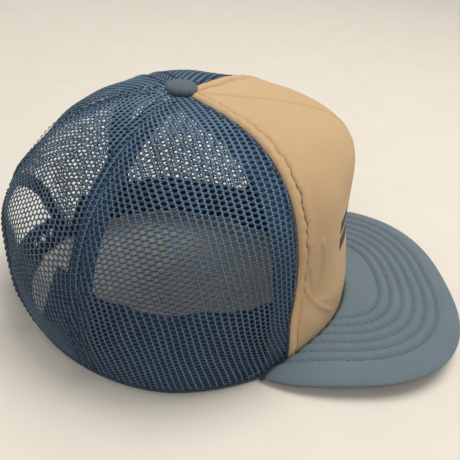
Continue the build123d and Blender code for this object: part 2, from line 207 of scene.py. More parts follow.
def crown(azimuth, angle, lift=0.0):
    """Point on the crown, moved outwards along its normal by lift."""
    azimuth, angle, lift = np.broadcast_arrays(*(np.asarray(v, float) for v in (azimuth, angle, lift)))
    return raw_point(azimuth, angle) + crown_normal(azimuth, angle) * lift[..., None]


def front_low(azimuth):
    inside = np.abs(azimuth) < FRONT_SEAM
    return np.where(inside, FRONT_LIFT * np.cos(np.radians(azimuth * 90 / FRONT_SEAM)), 0.0)


# ======================================================================= mesh helpers
MATERIALS = {}


def build(name, verts, faces, mat, flat, replaces=()):
    """Mesh object from vertices and flat cloth coordinates in millimetres, riding on the cap."""
    mesh = bpy.data.meshes.new(name)
    mesh.from_pydata((np.asarray(verts).reshape(-1, 3) * MM).tolist(), [], faces)
    mesh.polygons.foreach_set("use_smooth", [True] * len(mesh.polygons))
    layer = mesh.uv_layers.new(name="flat")
    index = np.zeros(len(mesh.loops), np.int32)
    mesh.loops.foreach_get("vertex_index", index)
    layer.data.foreach_set("uv", (np.asarray(flat).reshape(-1, 2) * MM)[index].astype(np.float32).ravel())
    mesh.materials.append(MATERIALS[mat])
    obj = bpy.data.objects.new(name, mesh)
    bpy.context.scene.collection.objects.link(obj)
    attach(obj, "cap")
    if replaces:
        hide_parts(*replaces)
    return obj


def mark(obj, name, values):
    """A value at each vertex, for the piece's material."""
    layer = obj.data.attributes.new(name, "FLOAT", "POINT")
    layer.data.foreach_set("value", values.astype(np.float32))


def lattice(rows, cols, start=0, flip=False):
    """Quads of a grid of rows x cols vertices."""
    i, j = np.meshgrid(np.arange(rows - 1), np.arange(cols - 1), indexing="ij")
    a = (start + i * cols + j).ravel()
    quads = np.stack([a, a + 1, a + cols + 1, a + cols], -1)
    return quads[:, ::-1] if flip else quads


def shell(outer, inner):
    """Closed shell between two grids of the same shape. Outer faces turn towards row x column."""
    rows, cols = outer.shape[:2]
    n = rows * cols
    faces = [lattice(rows, cols), lattice(rows, cols, n, True)]
    grid = np.arange(n).reshape(rows, cols)
    rim = np.concatenate([grid[0, :-1], grid[:-1, -1], grid[-1, :0:-1], grid[:0:-1, 0]])
    nxt = np.roll(rim, -1)
    faces.append(np.stack([nxt, rim, rim + n, nxt + n], -1))
    return np.concatenate([outer.reshape(-1, 3), inner.reshape(-1, 3)]), np.concatenate(faces).tolist()


def tube(sections):
    """Closed strip through loops of points, shape (stations, points, 3), with its ends capped."""
    stations, points = sections.shape[:2]
    i, j = np.meshgrid(np.arange(stations - 1), np.arange(points), indexing="ij")
    a, b = i * points + j, i * points + (j + 1) % points
    quads = np.stack([a.ravel(), b.ravel(), (b + points).ravel(), (a + points).ravel()], -1).tolist()
    quads.append(list(range(points))[::-1])
    quads.append([(stations - 1) * points + k for k in range(points)])
    return sections.reshape(-1, 3), quads


def tube_flat(sections):
    """Flat coordinates of a strip: along it, and round its section."""
    middle = sections.mean(1)
    along = run_along(middle)
    loop = sections[len(sections) // 2]
    round_ = run_along(loop)
    return np.stack(np.meshgrid(along, round_, indexing="ij"), -1)


def resample(path, extra, count):
    """Points at even spacing along a path, with another array carried along."""
    s = run_along(path)
    t = np.linspace(0, s[-1], count)
    even = np.stack([np.interp(t, s, path[:, k]) for k in range(path.shape[1])], -1)
    other = np.stack([np.interp(t, s, extra[:, k]) for k in range(extra.shape[1])], -1)
    return even, other


def stitch_mesh(path, normals, length=3.2, gap=0.9, radius=0.36, sink=0.45):
    """Thread dashes lying on a surface along a path; each dips in at both ends."""
    s = run_along(path)
    count = max(1, int(s[-1] / (length + gap)))
    stations, sides = 6, 6
    pitch = s[-1] / count
    t = np.linspace(0, 1, stations)
    at = (np.arange(count)[:, None] + 0.5) * pitch + (t - 0.5) * (pitch - gap)
    pick = lambda a: np.stack([np.interp(at, s, a[:, k]) for k in range(3)], -1)
    centre, up = pick(path), pick(normals)
    up /= np.linalg.norm(up, axis=-1, keepdims=True)
    along = np.gradient(centre, axis=1)
    along /= np.linalg.norm(along, axis=-1, keepdims=True)
    side = np.cross(along, up)
    arc = np.sin(math.pi * t) ** 0.5
    centre = centre + up * ((arc * (1 + sink) - sink) * radius)[None, :, None]
    turn = np.arange(sides) * 2 * math.pi / sides
    wide = radius * (0.55 + 0.45 * arc)
    ring = (
        side[:, :, None, :] * (np.cos(turn)[None, None, :, None] * wide[None, :, None, None])
        + up[:, :, None, :] * (np.sin(turn)[None, None, :, None] * wide[None, :, None, None] * 0.85)
    )
    verts = centre[:, :, None, :] + ring
    base = np.arange(count)[:, None, None] * stations * sides
    i, j = np.meshgrid(np.arange(stations - 1), np.arange(sides), indexing="ij")
    a, b = i * sides + j, i * sides + (j + 1) % sides
    quads = np.stack([a, b, b + sides, a + sides], -1).reshape(1, -1, 4) + base
    faces = quads.reshape(-1, 4).tolist()
    for k in range(count):
        first = k * stations * sides
        faces.append([first + q for q in range(sides)][::-1])
        faces.append([first + (stations - 1) * sides + q for q in range(sides)])
    flat = np.stack(np.broadcast_arrays(at[:, :, None], (turn * radius)[None, None, :]), -1)
    return verts.reshape(-1, 3), faces, flat.reshape(-1, 2)


def join(pieces):
    """Several (verts, faces, flat) as one."""
    verts, faces, flat, start = [], [], [], 0
    for v, f, u in pieces:
        verts.append(v)
        flat.append(u)
        faces += [[q + start for q in face] for face in f]
        start += len(v)
    return np.concatenate(verts), faces, np.concatenate(flat)


# ======================================================================= materials
class Graph:
    """A material's nodes, made one after another."""

    def __init__(self, name):
        mat = MATERIALS[name] = bpy.data.materials.new(name)
        mat.use_nodes = True
        self.tree = mat.node_tree
        self.tree.nodes.clear()
        out = self.tree.nodes.new("ShaderNodeOutputMaterial")
        self.shader = self.tree.nodes.new("ShaderNodeBsdfPrincipled")
        self.tree.links.new(self.shader.outputs[0], out.inputs[0])

    @classmethod
    def reopen(cls, name):
        """A finished material's nodes, to lay something over its colour."""
        g = cls.__new__(cls)
        g.tree = MATERIALS[name].node_tree
        g.shader = next(n for n in g.tree.nodes if n.type == "BSDF_PRINCIPLED")
        return g

    def colour(self):
        return self.shader.inputs["Base Color"].links[0].from_socket

    def attribute(self, name):
        made = self.tree.nodes.new("ShaderNodeAttribute")
        made.attribute_name = name
        return made.outputs["Fac"]

    def put(self, socket, value):
        if isinstance(value, bpy.types.NodeSocket):
            self.tree.links.new(value, socket)
        elif value is not None:
            socket.default_value = value

    def node(self, kind, **values):
        made = self.tree.nodes.new(kind)
        for key, value in values.items():
            self.put(made.inputs[key], value)
        return made

    def math(self, operation, a, b=None, c=None):
        made = self.tree.nodes.new("ShaderNodeMath")
        made.operation = operation
        for k, value in enumerate((a, b, c)):
            if value is not None:
                self.put(made.inputs[k], value)
        return made.outputs[0]

    def add(self, a, b):
        return self.math("ADD", a, b)

    def take(self, a, b):
        return self.math("SUBTRACT", a, b)

    def mul(self, a, b):
        return self.math("MULTIPLY", a, b)

    def mul_add(self, a, b, c):
        return self.math("MULTIPLY_ADD", a, b, c)

    def flat(self):
        uv = self.tree.nodes.new("ShaderNodeUVMap")
        uv.uv_map = "flat"
        split = self.node("ShaderNodeSeparateXYZ", Vector=uv.outputs[0])
        return split.outputs[0], split.outputs[1]

    def place(self):
        return self.tree.nodes.new("ShaderNodeTexCoord").outputs["Object"]

    def height(self):
        return self.node("ShaderNodeSeparateXYZ", Vector=self.place()).outputs[2]

    def noise(self, scale, detail=3.0, rough=0.55, stretch=None, where=None):
        where = where or self.place()
        if stretch:
            where = self.node("ShaderNodeMapping", Vector=where, Scale=stretch).outputs[0]
        return self.node("ShaderNodeTexNoise", Vector=where, Scale=scale, Detail=detail, Roughness=rough).outputs[0]

    def wave(self, value, period, phase=0.0):
        """0..1 sine of a length in metres."""
        turn = self.mul_add(value, 2 * math.pi / period, phase)
        return self.mul_add(self.math("SINE", turn), 0.5, 0.5)

    def blend(self, share, a, b, how="MIX"):
        made = self.tree.nodes.new("ShaderNodeMix")
        made.data_type, made.blend_type = "RGBA", how
        self.put(made.inputs[0], share)
        self.put(made.inputs[6], a)
        self.put(made.inputs[7], b)
        return made.outputs[2]

    def ramp(self, value, low, high, out_low=0.0, out_high=1.0):
        made = self.node("ShaderNodeMapRange", Value=value)
        for key, v in (("From Min", low), ("From Max", high), ("To Min", out_low), ("To Max", out_high)):
            made.inputs[key].default_value = v
        return made.outputs[0]

    def bump(self, height, distance, strength=1.0, normal=None):
        made = self.node("ShaderNodeBump", Height=height, Distance=distance, Strength=strength)
        if normal is not None:
            self.put(made.inputs["Normal"], normal)
        return made.outputs[0]

    def finish(self, **values):
        for key, value in values.items():
            self.put(self.shader.inputs[key.replace("_", " ")], value)


def srgb(r, g, b):
    lin = lambda v: v / 255 / 12.92 if v / 255 <= 0.04045 else ((v / 255 + 0.055) / 1.055) ** 2.4
    return (lin(r), lin(g), lin(b), 1.0)


def cloth(name, light, dark, period, bump, weave="plain", rough=0.85, sheen=0.15, mottle=0.35, wear=30.0, nap=0.04):
    """Woven cloth: yarns over and under at a period in millimetres, mottled, with a soft sheen."""
    g = Graph(name)
    u, v = g.flat()
    p = period * MM
    if weave == "twill":
        rib = g.wave(g.add(u, v), p * 1.4)
        cross = g.wave(g.take(u, v), p * 0.7)
        yarn = g.mul_add(rib, 0.75, g.mul(cross, 0.25))
    elif weave == "rib":
        rib = g.wave(u, p)
        cross = g.wave(v, p * 0.6)
        yarn = g.mul_add(rib, 0.65, g.mul(cross, 0.35))
    else:
        warp, weft = g.wave(u, p), g.wave(v, p)
        side = g.mul(g.take(g.wave(u, 2 * p), 0.5), g.take(g.wave(v, 2 * p), 0.5))
        over = g.math("GREATER_THAN", side, 0.0)
        one = g.mul(warp, over)
        two = g.mul(weft, g.take(1.0, over))
        yarn = g.add(one, two)
    fuzz = g.noise(2600.0, 2.0)
    patch = g.noise(wear, 4.0, 0.6)
    tone = g.mul_add(yarn, 0.45, g.mul(fuzz, 0.35))
    tone = g.add(tone, g.mul(g.take(patch, 0.5), mottle * 2))
    colour = g.blend(g.ramp(tone, 0.1, 0.85), dark, light)
    height = g.add(yarn, g.mul(fuzz, 0.6))
    normal = g.bump(height, bump * MM, 1.0, g.bump(g.noise(430.0, 4.0, 0.65), nap * MM))
    g.finish(Base_Color=colour, Roughness=g.ramp(patch, 0.3, 0.7, rough - 0.08, rough + 0.06), Normal=normal,
             Sheen_Weight=sheen, Sheen_Roughness=0.5, Specular_IOR_Level=0.25)


def net_material(name):
    """Warp-knitted polyester net of fine parallel filaments, with painted highlight on its raised lines, painted light
    making it brighter towards the top, and its reverse painted paler to lift the shade inside the crown.
    """
    g = Graph(name)
    u, v = g.flat()
    twist = g.wave(g.add(u, g.mul(v, 0.35)), 0.00036)
    loop = g.wave(v, 0.00133)
    fuzz = g.noise(1900.0, 3.0)
    patch = g.noise(26.0, 3.0)
    wale = g.attribute("wale")
    ridge = g.ramp(wale, 0.45, 0.95)
    tone = g.mul_add(twist, 0.25, g.mul(loop, 0.2))
    tone = g.add(tone, g.mul(fuzz, 0.5))
    tone = g.add(tone, g.mul(g.take(patch, 0.5), 0.6))
    # painted light: the body colour brightens towards the top of the crown, where the light from above falls on it
    high = g.ramp(g.height(), 0.055, 0.125)
    body = g.blend(g.ramp(tone, 0.2, 0.95), srgb(26, 44, 64),
                   g.blend(high, srgb(72, 104, 132), srgb(98, 138, 172)))
    # painted highlight: the raised lines are coloured far paler than the net, for the light they catch
    crest_highlight = g.blend(g.ramp(tone, 0.2, 0.9), srgb(112, 142, 162), srgb(184, 202, 210))
    colour = g.blend(g.mul(ridge, 0.8), body, crest_highlight)
    # painted light: the net's inner side is coloured paler, to lift the shade that falls inside the crown
    reverse = g.ramp(wale, -0.15, -0.7)
    colour = g.blend(reverse, colour, g.blend(g.ramp(tone, 0.2, 0.95), srgb(112, 132, 148), srgb(160, 176, 186)))
    normal = g.bump(g.add(twist, fuzz), 0.00009)
    g.finish(Base_Color=colour, Roughness=g.ramp(patch, 0.3, 0.7, 0.55, 0.68), Normal=normal,
             Sheen_Weight=0.08, Specular_IOR_Level=0.3)


def thread(name, light, dark, mid_crown_colour=None):
    """Two-ply thread; the last argument, if given, is its colour over the middle of the crown's height."""
    g = Graph(name)
    u, v = g.flat()
    ply = g.wave(g.add(u, g.mul(v, 0.8)), 0.0006)
    fuzz = g.noise(3000.0, 2.0)
    tone = g.mul_add(ply, 0.6, g.mul(fuzz, 0.4))
    colour = g.blend(tone, dark, light)
    if mid_crown_colour:
        height = g.height()
        share = g.mul(g.ramp(height, 0.050, 0.062), g.ramp(height, 0.122, 0.108))
        colour = g.blend(share, colour, g.blend(tone, mid_crown_colour, srgb(92, 88, 88)))
    g.finish(Base_Color=colour, Roughness=g.ramp(fuzz, 0.3, 0.7, 0.5, 0.65),
             Normal=g.bump(ply, 0.00012), Specular_IOR_Level=0.3)


def plastic(name, light, dark, rough=0.38):
    g = Graph(name)
    grain = g.noise(900.0, 4.0, 0.6)
    scuff = g.noise(55.0, 6.0, 0.7, stretch=(1.0, 1.0, 5.0))
    tone = g.add(g.mul(grain, 0.4), g.mul(scuff, 0.6))
    g.finish(Base_Color=g.blend(g.ramp(tone, 0.3, 0.7), dark, light), Normal=g.bump(grain, 0.00006),
             Roughness=g.ramp(scuff, 0.3, 0.7, rough - 0.07, rough + 0.12))


def metal(name):
    g = Graph(name)
    grain = g.noise(700.0, 4.0, 0.6)
    scuff = g.noise(160.0, 5.0, 0.7)
    g.finish(Base_Color=g.blend(g.ramp(scuff, 0.3, 0.7), srgb(120, 118, 112), srgb(176, 174, 168)),
             Metallic=0.9, Roughness=g.ramp(scuff, 0.3, 0.7, 0.28, 0.5), Normal=g.bump(grain, 0.00003))


def foam(name):
    g = Graph(name)
    cell = g.node("ShaderNodeTexVoronoi", Vector=g.place(), Scale=1500.0).outputs[0]
    patch = g.noise(60.0, 3.0)
    tone = g.mul_add(cell, 0.7, g.mul(patch, 0.3))
    g.finish(Base_Color=g.blend(g.ramp(tone, 0.1, 0.7), srgb(178, 152, 116), srgb(206, 180, 140)),
             Roughness=g.ramp(patch, 0.3, 0.7, 0.88, 0.97), Normal=g.bump(cell, 0.00025), Specular_IOR_Level=0.15)


def paint_fold_shade(name, middle, near, far, tint):
    """A patch of painted shade over creased cloth, fading out from a point."""
    g = Graph.reopen(name)
    away = g.tree.nodes.new("ShaderNodeVectorMath")
    away.operation = "DISTANCE"
    g.put(away.inputs[0], g.place())
    g.put(away.inputs[1], middle)
    reach = g.mul_add(g.noise(70.0, 4.0), 0.02, away.outputs["Value"])
    g.finish(Base_Color=g.blend(g.ramp(reach, near, far, 1.0, 0.0), g.colour(), tint, "MULTIPLY"))


def darken_tuck(name, tint):
    """The shaded line where the brim's cover is tucked in under the crown."""
    g = Graph.reopen(name)
    g.finish(Base_Color=g.blend(g.ramp(g.attribute("tuck"), 0.15, 0.9, 0.0, 0.85), g.colour(), tint))


def print_bars(name, half, bars, ink):
    """Plain dark bars printed across the front: half width and (low, high) heights in the flat cloth, metres."""
    g = Graph.reopen(name)
    u, v = g.flat()
    rough = g.noise(900.0, 2.0)
    edge = g.mul_add(rough, 0.0006, g.math("ABSOLUTE", u))
    level = g.mul_add(rough, 0.0005, v)
    mask = 0.0
    for low, high in bars:
        below_top = g.ramp(level, high, high + 0.0003, 1.0, 0.0)
        mask = g.add(mask, g.mul(g.ramp(level, low, low + 0.0003), below_top))
    mask = g.mul(mask, g.ramp(edge, half, half + 0.0003, 1.0, 0.0))
    mask = g.mul(mask, g.ramp(g.noise(260.0, 4.0), 0.2, 0.36, 0.85, 1.0))
    g.finish(Base_Color=g.blend(mask, g.colour(), ink))


cloth("tan_face", srgb(224, 190, 144), srgb(198, 163, 118), 0.55, 0.14, "twill", 0.88, 0.15, 0.15, 40.0, 0.32)
# painted shade: darkens the creased right side of the front panel
paint_fold_shade("tan_face", (-0.074, -0.066, 0.078), 0.014, 0.060, (0.74, 0.73, 0.74, 1.0))
print_bars("tan_face", 0.040, ((0.0705, 0.0798), (0.0828, 0.0920)), srgb(26, 32, 42))
cloth("brim_face", srgb(124, 141, 149), srgb(88, 102, 110), 0.6, 0.12, "twill", 0.86, 0.12, 0.18, 30.0, 0.25)
darken_tuck("brim_face", srgb(24, 30, 36))
# painted shade: the under cover is coloured darker than the top, for the shade beneath the brim
cloth("brim_below_shaded", srgb(84, 96, 108), srgb(54, 64, 74), 0.6, 0.12, "twill", 0.88, 0.1, 0.18, 30.0)
cloth("button_face", srgb(108, 120, 128), srgb(70, 80, 88), 0.55, 0.12, "twill", 0.86, 0.12, 0.18, 60.0)
cloth("tape_weave", srgb(66, 98, 132), srgb(36, 58, 86), 0.8, 0.14, "rib", 0.8, 0.1, 0.2, 50.0)
cloth("band_weave", srgb(54, 80, 110), srgb(28, 44, 66), 0.7, 0.14, "plain", 0.88, 0.12, 0.2, 40.0)
cloth("binding_weave", srgb(48, 70, 96), srgb(22, 34, 52), 0.75, 0.14, "rib", 0.8, 0.1, 0.2, 50.0)
net_material("net")
thread("thread_topstitch", srgb(232, 204, 166), srgb(188, 156, 120), srgb(48, 50, 58))
thread("thread_navy", srgb(52, 72, 94), srgb(22, 34, 50))
thread("thread_grey", srgb(118, 134, 142), srgb(90, 104, 112))
foam("foam_back")
plastic("strap_plastic", srgb(44, 54, 78), srgb(30, 38, 58), 0.36)
plastic("board_plastic", srgb(196, 198, 196), srgb(168, 170, 168), 0.5)
metal("rivet_metal")


def dress_node(node, mat):
    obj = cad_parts[node]
    for slot_ in obj.material_slots:
        slot_.material = MATERIALS[mat]
    if not obj.material_slots:
        obj.data.materials.append(MATERIALS[mat])
    obj.data.polygons.foreach_set("use_smooth", [True] * len(obj.data.polygons))


# ======================================================================= net panels
def back_span(x, z):
    """Azimuth at the back of the crown where it lies x to the side at height z."""
    def out(az):
        return profile(az, angle_at(az, height=z))[0] * np.sin(np.radians(az)) > np.abs(x)

    az = sum(halve(out, np.full(np.shape(x), 90.0), np.full(np.shape(x), 180.0), 28)) / 2
    return np.where(x < 0, az, -az)


def arch_edge(grow, turn):
    """Half width and height of the arch outline at a turn from its right foot to its left."""
    c, s = np.cos(turn), np.sin(turn)
    x = (ARCH_HALF + grow) * np.sign(c) * np.abs(c) ** (2 / ARCH_POWER)
    return x, (ARCH_HEIGHT + grow) * np.maximum(s, 0) ** (2 / ARCH_POWER)


def net_panel(name, first, last, node):
    """Knitted net between two seams: holes stacked along raised lines, cut and clamped under the seams."""
    centre = (first + last) / 2
    hand = 1.0 if centre > 0 else -1.0
    angle = np.linspace(0, math.pi / 2 - 0.003, 3000)
    r, z = profile(np.full_like(angle, centre), angle)
    v_line = run_along(np.stack([r, z], -1))
    top = np.interp(-5.0, -r, v_line)
    lean = math.radians(WALE_LEAN)
    across, along = np.array([math.cos(lean), -math.sin(lean)]), np.array([math.sin(lean), math.cos(lean)])

    def climb(u):
        return GRAIN_RISE * u - GRAIN_BEND * u * u

    i, j = np.meshgrid(np.arange(-60, 61), np.arange(-60, 110), indexing="ij")
    steps = np.stack([WALE_GAP * i, WALE_STEP * (j + 0.5 * (i % 2))], -1).reshape(-1, 2)
    centres = steps[:, :1] * across + steps[:, 1:] * along
    v = centres[:, 1] + climb(centres[:, 0])
    half = np.interp(v, v_line, r) * math.radians((last - first) / 2)
    kept = (v > -1.2) & (v < top) & (np.abs(centres[:, 0]) < half + 1.4)
    steps = steps[kept]
    side_x = (WALE_GAP**2 + (WALE_STEP / 2) ** 2) / (2 * WALE_GAP)
    corner_x = (WALE_GAP**2 - (WALE_STEP / 2) ** 2) / (2 * WALE_GAP)
    six = np.array([(side_x, 0), (corner_x, WALE_STEP / 2), (-corner_x, WALE_STEP / 2),
                    (-side_x, 0), (-corner_x, -WALE_STEP / 2), (corner_x, -WALE_STEP / 2)])
    ring = np.empty((12, 2))
    ring[0::2] = six
    ring[1::2] = (six + np.roll(six, -1, 0)) / 2
    turn = np.arctan2(ring[:, 1] * side_x, ring[:, 0] * WALE_STEP / 2)
    c, d = np.cos(turn), np.sin(turn)
    swell = (np.abs(c) ** HOLE_POWER + np.abs(d) ** HOLE_POWER) ** (-1 / HOLE_POWER)
    hole = np.stack([HOLE_X * c * swell, HOLE_Y * d * swell], -1)

    def place(local, lift):
        a, b = local[..., :1], local[..., 1:]
        uw = a * across + b * along
        # the knit wanders a little off its lines
        uw = uw + 0.4 * np.concatenate([np.sin(0.13 * a + 0.07 * b + 1) + 0.3 * np.sin(0.21 * b - 0.11 * a),
                                        0.7 * np.sin(0.17 * a - 0.1 * b + centre)], -1)
        v = np.clip(uw[..., 1] + climb(uw[..., 0]), 0.4, v_line[-1] - 0.5)
        az = centre + hand * np.degrees(uw[..., 0] / np.maximum(np.interp(v, v_line, r), 1.0))
        az = np.clip(az, first + 0.12, last - 0.12)
        return crown(az, np.interp(v, v_line, angle), lift)

    if abs(centre) > SIDE_SEAM:
        middle = place(steps, 0.0)
        c = np.abs(middle[:, 0]) / (ARCH_HALF + 3.2)
        h = np.maximum(middle[:, 2], 0) / (ARCH_HEIGHT + 3.2)
        steps = steps[c**ARCH_POWER + h**ARCH_POWER > 1]
    outer = steps[:, None, :] + ring
    plan = steps @ np.stack([across, along])
    rise = plan[:, 1] + climb(plan[:, 0])
    # holes close up towards the button, and no two are quite alike
    tight = 1 - 0.2 * smooth((rise - 88) / 60) - 0.3 * smooth((rise - 138) / 30)
    tight = tight * (1 + 0.05 * np.sin(0.37 * steps[:, 0] + 2.0 * np.sin(0.11 * steps[:, 1])))
    tight = tight * np.random.default_rng(5).normal(1.0, 0.035, len(steps)).clip(0.9, 1.08)
    inner = steps[:, None, :] + hole * tight[:, None, None]
    keys = np.round(outer * 50).astype(np.int64).reshape(-1, 2)
    shared, index = np.unique(keys, axis=0, return_inverse=True)
    index = index.reshape(-1, 12)
    ring_at = shared / 50.0
    n = len(ring_at)
    column = ring_at[:, 0] / WALE_GAP - 0.5
    wale = 1 - np.clip(np.abs(column - np.round(column)) * WALE_GAP / 0.5, 0, 1)
    up = place(ring_at, 0.18 * wale - 0.06)
    down = place(ring_at, -NET_THICK)
    rim = place(inner, -NET_THICK * 0.42)
    hole_index = 2 * n + np.arange(len(inner) * 12).reshape(-1, 12)
    nxt, hole_nxt = np.roll(index, -1, 1), np.roll(hole_index, -1, 1)
    over = np.stack([index, nxt, hole_nxt, hole_index], -1).reshape(-1, 4)
    under = np.stack([index + n, hole_index, hole_nxt, nxt + n], -1).reshape(-1, 4)
    verts = np.concatenate([up, down, rim.reshape(-1, 3)])
    flat = np.concatenate([ring_at, ring_at, inner.reshape(-1, 2)])
    faces = np.concatenate([over, under])
    if hand < 0:
        faces = faces[:, ::-1]
    obj = build(name, verts, faces.tolist(), "net", flat, replaces=(node,))
    mark(obj, "wale", np.concatenate([wale, wale * 0 - 1, np.zeros(len(inner) * 12)]))
    width = np.interp(0, v_line, r) * math.radians(last - first)
    area = float(np.sum((r[1:] + r[:-1]) / 2 * np.diff(v_line))) * math.radians(last - first)
    return obj, width, v_line[-1], area


for name, first, last, node in (
    ("side_net_right", FRONT_SEAM, SIDE_SEAM, "side_mesh_right"),
    ("side_net_left", -SIDE_SEAM, -FRONT_SEAM, "side_mesh_left"),
    ("back_net_right", SIDE_SEAM, 180.0, "back_mesh_right"),
    ("back_net_left", -180.0, -SIDE_SEAM, "back_mesh_left"),
):
    net_panel(name, first, last, node)


# ======================================================================= front panel
def panel_columns(angle):
    """Azimuths across the front panel, closer together at the puffed strips and the dart."""
    radius = profile(0.0, angle)[0]
    strip = np.minimum(np.degrees(PUFF / np.maximum(radius, 1)), FRONT_SEAM / 5)
    dart = strip * 0.6
    steps = []
    for low, high, count in ((0.0, dart, 9), (dart, FRONT_SEAM - 2 * strip, 66),
                             (FRONT_SEAM - 2 * strip, FRONT_SEAM - strip, 12), (FRONT_SEAM - strip, FRONT_SEAM, 15)):
        steps.append(low + (high - low) * np.linspace(0, 1, count)[: count - (high is not FRONT_SEAM)])
    half = np.concatenate(steps)
    return np.concatenate([-half[:0:-1], half])


def seam_wobble(radius, height):
    """How the topstitching wanders off its even distance from the seam."""
    run = height - radius
    ripple = 0.28 * np.sin(run / 1.5 + 0.8 * np.sin(run / 6.1))
    return ripple * smooth((height - 30) / 20) + 0.45 * np.sin(run / 3.3 + 1.0)


DEGREE_RUN = 1.75   # mm round the panel for one degree, low on the crown


def fold_line(side, start, end, bow):
    """Nine points down a bowed fold. start and end are (mm in from the front seam, mm up); side is 1 on the right."""
    t = np.linspace(0, 1, 9)
    inset = start[0] + (end[0] - start[0]) * t + 4 * bow * t * (1 - t)
    return np.stack([side * (FRONT_SEAM * DEGREE_RUN - inset), start[1] + (end[1] - start[1]) * t], axis=1)


def crease(across, height, line, width):
    """Closeness, 0..1, to a fold's line, with across and height in mm over the panel."""
    best = np.full(across.shape, 1e9)
    for a, b in zip(line[:-1], line[1:]):
        t = np.clip(((across - a[0]) * (b[0] - a[0]) + (height - a[1]) * (b[1] - a[1])) / np.sum((b - a) ** 2), 0, 1)
        best = np.minimum(best, np.hypot(across - a[0] - t * (b[0] - a[0]), height - a[1] - t * (b[1] - a[1])))
    return np.exp(-best / width)


FOLDS = (           # the folds fan out from the brim's ends: line, width, height of the ridge
    (fold_line(1, (0, 70), (45, 20), -5), 1.2, 1.7),
    (fold_line(1, (20, 80), (25, 40), 4), 0.9, 1.5),
    (fold_line(1, (10, 70), (20, 45), 0), 0.9, 1.0),
    (fold_line(1, (25, 40), (35, 35), 0), 1.3, 0.8),
    (fold_line(-1, (5, 60), (35, 30), 0), 1.6, 1.0),
    (fold_line(-1, (30, 65), (30, 40), -4), 1.4, 0.7),
)
DENTS = (           # broad hollows and swells: degrees round, mm up, half width, half height, rise
    (34.0, 50.0, 9.0, 18.0, -1.5), (42.0, 36.0, 6.0, 15.0, 1.1), (27.0, 34.0, 7.0, 11.0, 0.8),
    (44.0, 62.0, 4.0, 10.0, -0.9), (20.0, 52.0, 8.0, 10.0, -0.6), (-30.0, 48.0, 8.0, 16.0, -0.9),
    (-20.0, 34.0, 7.0, 12.0, 0.6), (4.0, 88.0, 22.0, 20.0, 0.6), (-8.0, 40.0, 12.0, 9.0, -0.5),
    (30.0, 92.0, 12.0, 14.0, 0.6),
)


def panel_lift(az, radius, height, seam_gap):
    """Relief of the front panel: puffed seam strips, topstitch groove, centre dart, soft creases."""
    lift = np.zeros_like(az)
    line = PUFF + seam_wobble(radius, height)
    near = seam_gap / line
    puff = np.where(near < 1, np.sin(math.pi * np.clip(near, 0, 1)) ** 0.6, 0.0)
    lift += (1.35 + 0.2 * np.sin((height - radius) / 1.5 + 0.8 * np.sin((height - radius) / 6.1))) * puff
    lift -= 1.25 * bell(seam_gap - line, 0.75)
    lift -= 0.9 * bell(seam_gap, 1.0)
    pucker = np.sin((height - radius) / 0.9 + 0.3 * seam_gap) * smooth((height - 30) / 30)
    lift += (0.45 + 0.12 * pucker) * bell(seam_gap - line - 3.0, 2.0)
    fade = smooth((height - 98) / 26) * smooth((radius - 9) / 5)
    middle = radius * np.radians(np.abs(az))
    lift += fade * (-1.3 * bell(middle, 1.1) + 0.35 * bell(middle - 3.0, 1.8))
    soft = np.zeros_like(az)
    for at, high, wide, tall, depth in DENTS:
        across = radius * np.radians(az - at)
        soft += depth * np.exp(-((across / wide) ** 2) - ((height - high - 0.6 * across) / tall) ** 2)
    across = az * DEGREE_RUN
    for line, width, rise in FOLDS:
        fold = crease(across, height, line, width)
        soft += rise * fold - 0.55 * rise * np.sqrt(crease(across - 2.2, height - 1.2, line, width * 2.0))
    return lift + soft * smooth((height - 17) / 12) * smooth((seam_gap - 5.0) / 4.0)


def front_layers():
    """Azimuth, profile angle and distance to the nearer seam over the front panel, in even rows."""
    rows = 230
    path = np.linspace(0, 1, 2000)
    start = angle_at(0.0, height=5.0)
    end = float(angle_at(0.0, radius=TOP_HOLE))
    angles = start + (end - start) * path
    r, z = profile(np.zeros_like(angles), angles)
    s = run_along(np.stack([r, z], -1))
    share = np.interp(np.linspace(0, s[-1], rows), s, path)
    grid_az, grid_angle, grid_gap = [], [], []
    for t in share:
        az = panel_columns(start + (end - start) * t)
        low = angle_at(az, height=front_low(az) + 1e-4)
        angle = low + (end - low) * t
        r, z = profile(az, angle)
        grid_az.append(az)
        grid_angle.append(angle)
        grid_gap.append(r * np.radians(FRONT_SEAM - np.abs(az)))
    return np.array(grid_az), np.array(grid_angle), np.array(grid_gap)


PANEL_AZ, PANEL_ANGLE, PANEL_GAP = front_layers()
panel_r, panel_z = profile(PANEL_AZ, PANEL_ANGLE)
panel_relief = panel_lift(PANEL_AZ, panel_r, panel_z, PANEL_GAP)
outer = crown(PANEL_AZ, PANEL_ANGLE, panel_relief)
panel_flat = np.stack([-panel_r * np.radians(PANEL_AZ), panel_z + (110 - np.minimum(panel_r, 110))], -1)[:, ::-1]
front_panel = build("front_panel", outer[:, ::-1].reshape(-1, 3), lattice(*outer.shape[:2]).tolist(), "tan_face",
                    panel_flat.reshape(-1, 2), replaces=("front_panel_fabric",))

